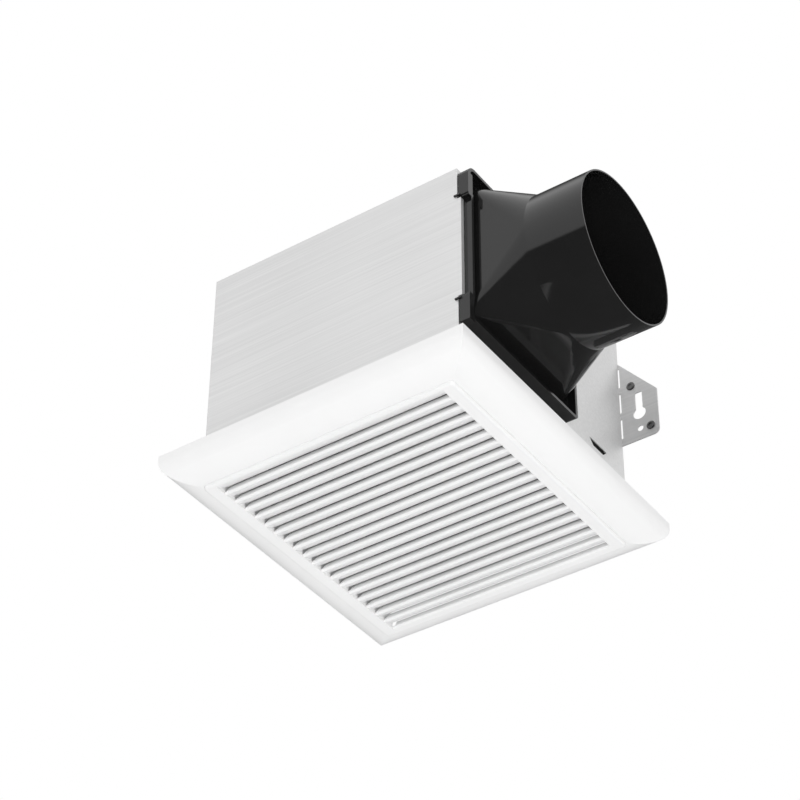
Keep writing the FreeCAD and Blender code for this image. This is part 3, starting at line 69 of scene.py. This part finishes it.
def grey(level, warm=0.0):
    return (level + warm, level, level - warm, 1)


# every finish group puts out a colour, a roughness and a height for the bump
finishOutputs = [
    ("Color", "NodeSocketColor"),
    ("Roughness", "NodeSocketFloat"),
    ("Height", "NodeSocketFloat"),
]


def newFinish(name, inputs):
    tree = bpy.data.node_groups.new(name, "ShaderNodeTree")
    for label, kind, value in inputs:
        socket = tree.interface.new_socket(label, in_out="INPUT", socket_type=kind)
        socket.default_value = value
    for label, kind in finishOutputs:
        tree.interface.new_socket(label, in_out="OUTPUT", socket_type=kind)
    start = addNode(tree, "NodeGroupInput", (-900, 0))
    end = addNode(tree, "NodeGroupOutput", (700, 0))
    coords = addNode(tree, "ShaderNodeTexCoord", (-900, 250))
    return tree, start.outputs, end.inputs, coords.outputs["Object"]


# one mask spreads two tones and two levels of gloss over the surface
def endFinish(tree, outlets, mask, tones, gloss, height):
    color = mixColors(tree, (200, 150), mask, *tones)
    rough = rangeOf(tree, (200, -120), mask, *gloss)
    tree.links.new(color, outlets["Color"])
    tree.links.new(rough.outputs["Result"], outlets["Roughness"])
    tree.links.new(height, outlets["Height"])


# rolled and brushed sheet: long streaks along one axis over a soft cloud
brushedStreaks = {
    "streaks": {"Scale": 1.0, "Detail": 4.0, "Roughness": 0.65},
    "cloud": {"Scale": 9.0, "Detail": 2.0, "Roughness": 0.5},
    "cloudShare": 0.35,
    "contrast": {"From Min": 0.42, "From Max": 0.92},
}


def makeBrushedGroup():
    tree, given, outlets, place = newFinish(
        "brushedStreaks",
        [
            ("Stretch", "NodeSocketVector", (6.0, 900.0, 900.0)),
            ("Bright", "NodeSocketColor", grey(0.8)),
            ("Dull", "NodeSocketColor", grey(0.6)),
            ("Smooth", "NodeSocketFloat", 0.3),
            ("Rough", "NodeSocketFloat", 0.5),
        ],
    )
    link = tree.links.new
    scaled = addNode(tree, "ShaderNodeVectorMath", (-700, 100), operation="MULTIPLY")
    link(place, scaled.inputs[0])
    link(given["Stretch"], scaled.inputs[1])
    streaks = addNoise(tree, (-500, 100), scaled.outputs["Vector"], brushedStreaks["streaks"])
    cloud = addNoise(tree, (-500, -150), place, brushedStreaks["cloud"])
    both = addNode(tree, "ShaderNodeMath", (-280, 0), operation="MULTIPLY_ADD")
    link(cloud.outputs["Fac"], both.inputs[0])
    both.inputs[1].default_value = brushedStreaks["cloudShare"]
    link(streaks.outputs["Fac"], both.inputs[2])
    spread = rangeOf(tree, (-80, 0), both.outputs["Value"], 0.0, 1.0)
    setInputs(spread, brushedStreaks["contrast"])
    tones = given["Dull"], given["Bright"]
    gloss = given["Rough"], given["Smooth"]
    endFinish(tree, outlets, spread.outputs["Result"], tones, gloss, streaks.outputs["Fac"])
    return tree


# moulded plastic: a fine pebble, and slow changes of tone and gloss
mouldedSkin = {
    "cloud": {"Scale": 14.0, "Detail": 3.0, "Roughness": 0.55},
    "pebble": {"Detail": 1.0, "Roughness": 0.4},
    "contrast": {"From Min": 0.3, "From Max": 0.7},
}


def makeMouldedGroup():
    tree, given, outlets, place = newFinish(
        "mouldedSkin",
        [
            ("Tone", "NodeSocketColor", grey(0.5)),
            ("Shade", "NodeSocketColor", grey(0.4)),
            ("Pebble Scale", "NodeSocketFloat", 1500.0),
            ("Smooth", "NodeSocketFloat", 0.3),
            ("Rough", "NodeSocketFloat", 0.4),
        ],
    )
    cloud = addNoise(tree, (-500, 150), place, mouldedSkin["cloud"])
    pebble = addNoise(tree, (-500, -150), place, mouldedSkin["pebble"])
    tree.links.new(given["Pebble Scale"], pebble.inputs["Scale"])
    spread = rangeOf(tree, (-200, 100), cloud.outputs["Fac"], 0.0, 1.0)
    setInputs(spread, mouldedSkin["contrast"])
    tones = given["Shade"], given["Tone"]
    gloss = given["Smooth"], given["Rough"]
    endFinish(tree, outlets, spread.outputs["Result"], tones, gloss, pebble.outputs["Fac"])
    return tree


# fine parallel lines: stacked laminations, turned faces and wound wire; the lines are real, and
# the darker Groove tone laid on the bump's hollows is painted shade in the grooves
fineLines = {
    "grime": {"Scale": 220.0, "Detail": 3.0, "Roughness": 0.6},
    "waveShare": 0.35,
    "contrast": {"From Min": 0.1, "From Max": 0.9},
}


def makeLinesGroup():
    tree, given, outlets, place = newFinish(
        "fineLines",
        [
            ("Direction", "NodeSocketVector", (0.0, 0.0, 1.0)),
            ("Ridge", "NodeSocketColor", grey(0.5)),
            ("Groove Shade", "NodeSocketColor", grey(0.3)),
            ("Smooth", "NodeSocketFloat", 0.35),
            ("Rough", "NodeSocketFloat", 0.6),
        ],
    )
    link = tree.links.new
    along = addNode(tree, "ShaderNodeVectorMath", (-700, 100), operation="DOT_PRODUCT")
    link(place, along.inputs[0])
    link(given["Direction"], along.inputs[1])
    wave = addNode(tree, "ShaderNodeMath", (-500, 100), operation="SINE")
    link(along.outputs["Value"], wave.inputs[0])
    grime = addNoise(tree, (-500, -150), place, fineLines["grime"])
    mixed = addNode(tree, "ShaderNodeMath", (-280, 0), operation="MULTIPLY_ADD")
    link(wave.outputs["Value"], mixed.inputs[0])
    mixed.inputs[1].default_value = fineLines["waveShare"]
    link(grime.outputs["Fac"], mixed.inputs[2])
    spread = rangeOf(tree, (-80, 0), mixed.outputs["Value"], 0.0, 1.0)
    setInputs(spread, fineLines["contrast"])
    # one wave sets both tone and bump, so the hollows take the darker tone: painted shade between
    # lines and turns
    tones = given["Groove Shade"], given["Ridge"]
    gloss = given["Rough"], given["Smooth"]
    endFinish(tree, outlets, spread.outputs["Result"], tones, gloss, wave.outputs["Value"])
    return tree


finishGroups = {
    "brushed": makeBrushedGroup(),
    "moulded": makeMouldedGroup(),
    "lines": makeLinesGroup(),
}
print("finish groups made:", ", ".join(finishGroups))


# one look for each material slot of the part
looks = {
    "galvanised_sheet": {
        "finish": "brushed",
        "surface": {
            "Stretch": (5.0, 700.0, 700.0), "Bright": grey(0.83), "Dull": grey(0.74),
            "Smooth": 0.46, "Rough": 0.54,
        },
        "shader": {"Metallic": 0.7},
        "bump": 0.04,
    },
    "white_plastic": {
        "finish": "moulded",
        "surface": {
            "Tone": grey(0.9), "Shade": grey(0.88), "Pebble Scale": 1800.0,
            "Smooth": 0.32, "Rough": 0.42,
        },
        "bump": 0.04,
    },
    "black_plastic": {
        "finish": "moulded",
        "surface": {
            "Tone": grey(0.011), "Shade": grey(0.008), "Pebble Scale": 700.0,
            "Smooth": 0.06, "Rough": 0.1,
        },
        "bump": 0.01,
        "edge": 0.0004,
    },
    # black-coated inlet plate, made this dark as painted shade for the space seen behind the
    # louvres
    "black_sheet": {
        "finish": "moulded",
        "surface": {
            "Tone": grey(0.02), "Shade": grey(0.014), "Pebble Scale": 1600.0,
            "Smooth": 0.5, "Rough": 0.6,
        },
        "bump": 0.06,
    },
    "dark_rivet": {
        "finish": "moulded",
        "surface": {
            "Tone": grey(0.22), "Shade": grey(0.16), "Pebble Scale": 2500.0,
            "Smooth": 0.26, "Rough": 0.34,
        },
        "shader": {"Metallic": 1.0},
        "bump": 0.1,
    },
    "zinc_steel": {
        "finish": "moulded",
        "surface": {
            "Tone": grey(0.66, 0.01), "Shade": grey(0.52, 0.015), "Pebble Scale": 2500.0,
            "Smooth": 0.25, "Rough": 0.4,
        },
        "shader": {"Metallic": 1.0},
        "bump": 0.06,
    },
    "grey_plastic": {
        "finish": "moulded",
        "surface": {
            "Tone": grey(0.2), "Shade": grey(0.15), "Pebble Scale": 1400.0,
            "Smooth": 0.4, "Rough": 0.55,
        },
        "bump": 0.08,
    },
    "lamination": {
        "finish": "lines",
        "surface": {
            "Direction": (0.0, 0.0, 9000.0), "Ridge": grey(0.3, 0.01), "Groove Shade": grey(0.12, 0.01),
            "Smooth": 0.35, "Rough": 0.6,
        },
        "shader": {"Metallic": 0.9},
        "bump": 0.4,
        "bumpDepth": 0.0002,
    },
    "rotor_metal": {
        "finish": "lines",
        "surface": {
            "Direction": (0.0, 0.0, 12000.0), "Ridge": grey(0.6), "Groove Shade": grey(0.42),
            "Smooth": 0.25, "Rough": 0.45,
        },
        "shader": {"Metallic": 1.0},
        "bump": 0.2,
    },
    "bobbin_plastic": {
        "finish": "moulded",
        "surface": {
            "Tone": (0.82, 0.78, 0.66, 1), "Shade": (0.74, 0.7, 0.58, 1), "Pebble Scale": 1500.0,
            "Smooth": 0.4, "Rough": 0.5,
        },
        "bump": 0.05,
    },
    "copper_wire": {
        "finish": "lines",
        "surface": {
            "Direction": (0.0, 9000.0, 0.0),
            "Ridge": (0.66, 0.27, 0.1, 1), "Groove Shade": (0.25, 0.08, 0.03, 1),
            "Smooth": 0.22, "Rough": 0.45,
        },
        "shader": {"Metallic": 0.9},
        "bump": 0.7,
        "bumpDepth": 0.0004,
    },
    "bearing_bronze": {
        "finish": "moulded",
        "surface": {
            "Tone": (0.58, 0.4, 0.19, 1), "Shade": (0.42, 0.28, 0.12, 1), "Pebble Scale": 4000.0,
            "Smooth": 0.35, "Rough": 0.55,
        },
        "shader": {"Metallic": 1.0},
        "bump": 0.15,
    },
    "grommet_rubber": {
        "finish": "moulded",
        "surface": {
            "Tone": grey(0.035), "Shade": grey(0.02), "Pebble Scale": 2200.0,
            "Smooth": 0.6, "Rough": 0.8,
        },
        "bump": 0.15,
    },
    "receptacle_plastic": {
        "finish": "moulded",
        "surface": {
            "Tone": grey(0.05), "Shade": grey(0.035), "Pebble Scale": 1800.0,
            "Smooth": 0.38, "Rough": 0.52,
        },
        "bump": 0.08,
    },
    "ground_green": {
        "finish": "moulded",
        "surface": {
            "Tone": (0.03, 0.25, 0.08, 1), "Shade": (0.02, 0.18, 0.05, 1), "Pebble Scale": 2500.0,
            "Smooth": 0.3, "Rough": 0.45,
        },
        "shader": {"Metallic": 0.5},
        "bump": 0.06,
    },
    "spring_wire": {
        "finish": "moulded",
        "surface": {
            "Tone": grey(0.5), "Shade": grey(0.36), "Pebble Scale": 3000.0,
            "Smooth": 0.25, "Rough": 0.4,
        },
        "shader": {"Metallic": 1.0},
        "bump": 0.1,
    },
}
fineDepth = 0.0001  # bump depth of the looks that name none, in metres
edgeSamples = 4


# one material: a finish group feeding a Principled shader
def makeMaterial(name, look):
    material = bpy.data.materials.new(name)
    material.use_nodes = True
    tree = material.node_tree
    tree.nodes.clear()
    link = tree.links.new
    output = addNode(tree, "ShaderNodeOutputMaterial", (500, 0))
    shader = addNode(tree, "ShaderNodeBsdfPrincipled", (200, 0))
    setInputs(shader, look.get("shader", {}))
    surface = addNode(tree, "ShaderNodeGroup", (-300, 0))
    surface.node_tree = finishGroups[look["finish"]]
    setInputs(surface, look["surface"])
    bump = addNode(tree, "ShaderNodeBump", (-50, -250))
    setInputs(bump, {"Strength": look["bump"], "Distance": look.get("bumpDepth", fineDepth)})
    if "edge" in look:  # softened corners
        softEdge = addNode(tree, "ShaderNodeBevel", (-300, -350), samples=edgeSamples)
        setInputs(softEdge, {"Radius": look["edge"]})
        link(softEdge.outputs["Normal"], bump.inputs["Normal"])
    link(surface.outputs["Color"], shader.inputs["Base Color"])
    link(surface.outputs["Roughness"], shader.inputs["Roughness"])
    link(surface.outputs["Height"], bump.inputs["Height"])
    link(bump.outputs["Normal"], shader.inputs["Normal"])
    link(shader.outputs["BSDF"], output.inputs["Surface"])
    return material


materials = {slot: makeMaterial(slot + "_finish", look) for slot, look in looks.items()}
for part in frame["record"]["subparts"]:
    slots = nodes[part["node"]].data.materials
    slots.clear()
    slots.append(materials[part["material_slot"]])
print("materials made:", len(materials))


# a pale floor well below the fan
studioFloor = {
    "drop": 1.75,
    "size": 14.0,
    "tone": 0.9,
    "toneChange": 0.01,
    "cloud": {"Scale": 3.0, "Detail": 2.0},
    "roughness": 0.9,
}


def makeFloor():
    half = studioFloor["size"] / 2
    level = -studioFloor["drop"]
    corners = [(x * half, y * half, level) for x, y in ((-1, -1), (1, -1), (1, 1), (-1, 1))]
    mesh = bpy.data.meshes.new("studioFloor")
    mesh.from_pydata(corners, [], [(0, 1, 2, 3)])
    floor = bpy.data.objects.new("studioFloor", mesh)
    scene.collection.objects.link(floor)
    material = bpy.data.materials.new("studioFloorPaint")
    material.use_nodes = True
    tree = material.node_tree
    shader = tree.nodes["Principled BSDF"]
    cloud = addNode(tree, "ShaderNodeTexNoise", (-500, 0))
    setInputs(cloud, studioFloor["cloud"])
    low = studioFloor["tone"] - studioFloor["toneChange"]
    high = studioFloor["tone"] + studioFloor["toneChange"]
    tone = rangeOf(tree, (-250, 0), cloud.outputs["Fac"], low, high)
    tree.links.new(tone.outputs["Result"], shader.inputs["Base Color"])
    shader.inputs["Roughness"].default_value = studioFloor["roughness"]
    mesh.materials.append(material)
    floor.visible_glossy = False


# an even surround, which the camera sees as white
surround = {
    "level": 0.78,
    # reflections are bright above the horizon, dark below it and behind on the left
    "glossLow": 0.1,
    "glossHigh": 1.0,
    "horizon": (0.035, 0.105),
    "backLeft": (-0.75, -0.35),
}


def softStep(tree, place, value, limits):
    step = rangeOf(tree, place, value, 0.0, 1.0)
    step.interpolation_type = "SMOOTHSTEP"
    setInputs(step, {"From Min": limits[0], "From Max": limits[1]})
    return step.outputs["Result"]


def makeWorld():
    world = bpy.data.worlds.new("studioSurround")
    scene.world = world
    world.use_nodes = True
    tree = world.node_tree
    tree.nodes.clear()
    link = tree.links.new
    path = addNode(tree, "ShaderNodeLightPath", (-400, 350))
    seen = addNode(tree, "ShaderNodeMath", (100, 350), operation="MAXIMUM")
    link(path.outputs["Is Camera Ray"], seen.inputs[0])
    link(path.outputs["Is Transmission Ray"], seen.inputs[1])
    coords = addNode(tree, "ShaderNodeTexCoord", (-700, -200))
    direction = addNode(tree, "ShaderNodeSeparateXYZ", (-500, -200))
    link(coords.outputs["Generated"], direction.inputs["Vector"])
    frontRight = addNode(tree, "ShaderNodeMath", (-500, -400), operation="SUBTRACT")
    link(direction.outputs["X"], frontRight.inputs[0])
    link(direction.outputs["Y"], frontRight.inputs[1])
    lit = addNode(tree, "ShaderNodeMath", (-100, -250), operation="MULTIPLY")
    above = softStep(tree, (-300, -100), direction.outputs["Z"], surround["horizon"])
    side = softStep(tree, (-300, -400), frontRight.outputs["Value"], surround["backLeft"])
    link(above, lit.inputs[0])
    link(side, lit.inputs[1])
    ends = surround["glossLow"], surround["glossHigh"]
    gloss = rangeOf(tree, (50, -300), lit.outputs["Value"], *ends)
    light = addNode(tree, "ShaderNodeBackground", (0, 0))
    setInputs(light, {"Color": grey(1.0), "Strength": surround["level"]})
    mirrored = addNode(tree, "ShaderNodeBackground", (200, -250))
    setInputs(mirrored, {"Color": grey(1.0)})
    link(gloss.outputs["Result"], mirrored.inputs["Strength"])
    shown = addNode(tree, "ShaderNodeBackground", (300, 150))
    setInputs(shown, {"Color": grey(1.0), "Strength": 1.0})
    lightOrMirror = addNode(tree, "ShaderNodeMixShader", (300, -50))
    link(path.outputs["Is Glossy Ray"], lightOrMirror.inputs["Fac"])
    link(light.outputs["Background"], lightOrMirror.inputs[1])
    link(mirrored.outputs["Background"], lightOrMirror.inputs[2])
    choose = addNode(tree, "ShaderNodeMixShader", (550, 0))
    link(seen.outputs["Value"], choose.inputs["Fac"])
    link(lightOrMirror.outputs["Shader"], choose.inputs[1])
    link(shown.outputs["Background"], choose.inputs[2])
    output = addNode(tree, "ShaderNodeOutputWorld", (800, 0))
    link(choose.outputs["Shader"], output.inputs["Surface"])


# soft lamps: place, aim, size, watts
panels = {
    "cameraPanel": ((1.1, -1.6, -1.45), (0, 0, 0), 0.5, 17.0),
    "rightPanel": ((2.2, -0.9, -0.9), (0, 0, 0), 1.6, 4.0),
    "lowPanel": ((-0.2, 1.0, -1.6), (0, 0, 0), 1.2, 4.5),
    "backPanel": ((-1.4, 1.5, 0.9), (0, 0, 0.07), 1.4, 12.0),
}


def makePanels():
    for name, (place, aim, size, watts) in panels.items():
        lamp = bpy.data.lights.new(name, "AREA")
        lamp.shape = "SQUARE"
        lamp.size = size
        lamp.energy = watts
        panel = bpy.data.objects.new(name, lamp)
        panel.location = place
        panel.rotation_euler = (Vector(aim) - Vector(place)).to_track_quat("-Z", "Y").to_euler()
        panel.visible_glossy = False
        panel.visible_camera = False
        scene.collection.objects.link(panel)


# the photo's camera, looking up from below the front right corner
view = {
    "place": (0.6788, -0.9906, -0.8952),
    "yaw": 34.962,
    "pitch": 38.796,
    "roll": 0.432,
    "lens": 111.5,
    "sensor": 36.0,
    "clip": (0.05, 50.0),
}


def makeCamera():
    yaw, pitch, roll = (math.radians(view[name]) for name in ("yaw", "pitch", "roll"))
    level = math.cos(pitch)
    ahead = Vector((-math.sin(yaw) * level, math.cos(yaw) * level, math.sin(pitch)))
    right = Vector((math.cos(yaw), math.sin(yaw), 0))
    upward = right.cross(ahead)
    rightRolled = right * math.cos(roll) + upward * math.sin(roll)
    upRolled = upward * math.cos(roll) - right * math.sin(roll)
    turn = Matrix((rightRolled, upRolled, -ahead)).transposed()
    data = bpy.data.cameras.new("photoCamera")
    data.lens = view["lens"]
    data.sensor_width = view["sensor"]
    data.clip_start, data.clip_end = view["clip"]
    camera = bpy.data.objects.new("photoCamera", data)
    camera.matrix_world = Matrix.Translation(view["place"]) @ turn.to_4x4()
    scene.collection.objects.link(camera)
    scene.camera = camera


makeFloor()
makeWorld()
makePanels()
makeCamera()
scene.view_settings.view_transform = "Standard"
print("studio and camera set")
